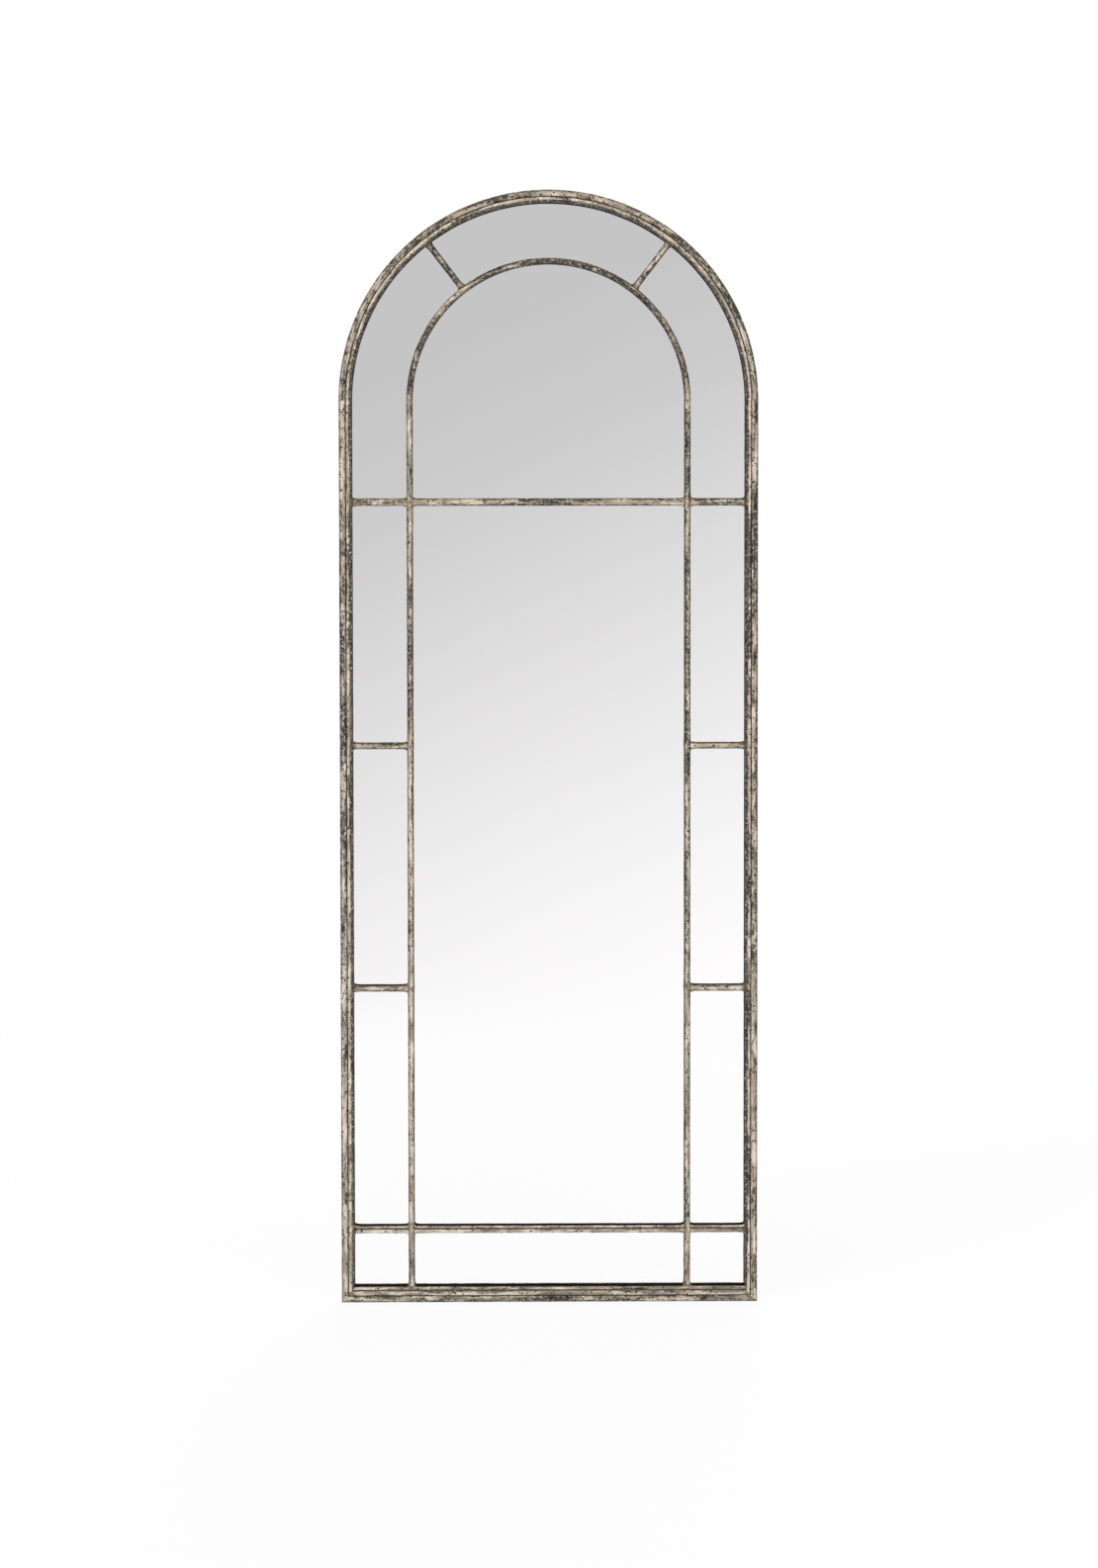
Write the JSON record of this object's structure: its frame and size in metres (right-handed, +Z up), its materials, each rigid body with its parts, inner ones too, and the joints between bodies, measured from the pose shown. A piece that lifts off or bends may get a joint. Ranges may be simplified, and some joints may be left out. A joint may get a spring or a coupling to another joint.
{
  "type": "arched window mirror",
  "caption": "Tall arched window-style mirror: a welded steel frame with proud inner bead and glazing bars over one arched glass, hung on two swinging D-rings.",
  "frame": {"origin": "middle of the bottom edge, half-way through the depth", "axes": "+X to the right seen from the front, +Y from the front to the wall, +Z up"},
  "size_m": [0.6, 0.0324, 1.6],
  "materials": {
    "frame_paint": "aged cream paint, chipped and worn to dark steel",
    "bar_paint": "aged cream paint with dark chips and rusty welds",
    "mirror": "clear silvered glass",
    "glazing_tape": "matt black foam",
    "backing_board": "fibreboard",
    "zinc_hardware": "zinc plated",
    "bumper_rubber": "moulded rubber"
  },
  "bodies": {
    "mirror": {"left_stile": "frame_paint", "right_stile": "frame_paint", "arch_rim": "frame_paint", "bottom_rail": "frame_paint", "left_bead": "frame_paint", "right_bead": "frame_paint", "arch_bead": "frame_paint", "bottom_bead": "frame_paint", "left_upright": "bar_paint", "right_upright": "bar_paint", "inner_arch": "bar_paint", "upper_transom_left": "bar_paint", "upper_transom_middle": "bar_paint", "upper_transom_right": "bar_paint", "lower_transom_left": "bar_paint", "lower_transom_middle": "bar_paint", "lower_transom_right": "bar_paint", "low_side_bar_left": "bar_paint", "low_side_bar_right": "bar_paint", "high_side_bar_left": "bar_paint", "high_side_bar_right": "bar_paint", "left_spoke": "bar_paint", "right_spoke": "bar_paint", "left_glazing_tape": "glazing_tape", "right_glazing_tape": "glazing_tape", "arch_glazing_tape": "glazing_tape", "bottom_glazing_tape": "glazing_tape", "mirror_glass": "mirror", "backing_board": "backing_board", "turn_button_screw_left_1": "zinc_hardware", "turn_button_screw_left_2": "zinc_hardware", "turn_button_screw_right_1": "zinc_hardware", "turn_button_screw_right_2": "zinc_hardware", "turn_button_screw_bottom_1": "zinc_hardware", "turn_button_screw_bottom_2": "zinc_hardware", "turn_button_screw_arch_1": "zinc_hardware", "turn_button_screw_arch_2": "zinc_hardware", "left_hanger_strap": "zinc_hardware", "right_hanger_strap": "zinc_hardware", "left_hanger_screw_1": "zinc_hardware", "left_hanger_screw_2": "zinc_hardware", "right_hanger_screw_1": "zinc_hardware", "right_hanger_screw_2": "zinc_hardware", "wall_bumper_left_low": "bumper_rubber", "wall_bumper_left_high": "bumper_rubber", "wall_bumper_right_low": "bumper_rubber", "wall_bumper_right_high": "bumper_rubber"},
    "button_left_1": {"turn_button_left_1": "zinc_hardware"},
    "button_left_2": {"turn_button_left_2": "zinc_hardware"},
    "button_right_1": {"turn_button_right_1": "zinc_hardware"},
    "button_right_2": {"turn_button_right_2": "zinc_hardware"},
    "button_bottom_1": {"turn_button_bottom_1": "zinc_hardware"},
    "button_bottom_2": {"turn_button_bottom_2": "zinc_hardware"},
    "button_arch_1": {"turn_button_arch_1": "zinc_hardware"},
    "button_arch_2": {"turn_button_arch_2": "zinc_hardware"},
    "left_ring": {"left_hanger_ring": "zinc_hardware"},
    "right_ring": {"right_hanger_ring": "zinc_hardware"}
  },
  "joints": [
    {"name": "button_left_1_turn", "type": "hinge", "parent": "mirror", "child": "button_left_1", "pos_m": [-0.295, 0.01055, 0.325], "axis": [0, 1, 0], "continuous": true},
    {"name": "button_left_2_turn", "type": "hinge", "parent": "mirror", "child": "button_left_2", "pos_m": [-0.295, 0.01055, 0.975], "axis": [0, 1, 0], "continuous": true},
    {"name": "button_right_1_turn", "type": "hinge", "parent": "mirror", "child": "button_right_1", "pos_m": [0.295, 0.01055, 0.325], "axis": [0, 1, 0], "continuous": true},
    {"name": "button_right_2_turn", "type": "hinge", "parent": "mirror", "child": "button_right_2", "pos_m": [0.295, 0.01055, 0.975], "axis": [0, 1, 0], "continuous": true},
    {"name": "button_bottom_1_turn", "type": "hinge", "parent": "mirror", "child": "button_bottom_1", "pos_m": [-0.15, 0.01055, 0.005], "axis": [0, 1, 0], "continuous": true},
    {"name": "button_bottom_2_turn", "type": "hinge", "parent": "mirror", "child": "button_bottom_2", "pos_m": [0.15, 0.01055, 0.005], "axis": [0, 1, 0], "continuous": true},
    {"name": "button_arch_1_turn", "type": "hinge", "parent": "mirror", "child": "button_arch_1", "pos_m": [-0.2086, 0.01055, 1.5086], "axis": [0, 1, 0], "continuous": true},
    {"name": "button_arch_2_turn", "type": "hinge", "parent": "mirror", "child": "button_arch_2", "pos_m": [0.2086, 0.01055, 1.5086], "axis": [0, 1, 0], "continuous": true},
    {"name": "left_ring_swing", "type": "hinge", "parent": "mirror", "child": "left_ring", "pos_m": [-0.2, 0.01275, 1.2], "axis": [1, 0, 0], "range_deg": [0, 180]},
    {"name": "right_ring_swing", "type": "hinge", "parent": "mirror", "child": "right_ring", "pos_m": [0.2, 0.01275, 1.2], "axis": [1, 0, 0], "range_deg": [0, 180]}
  ]
}
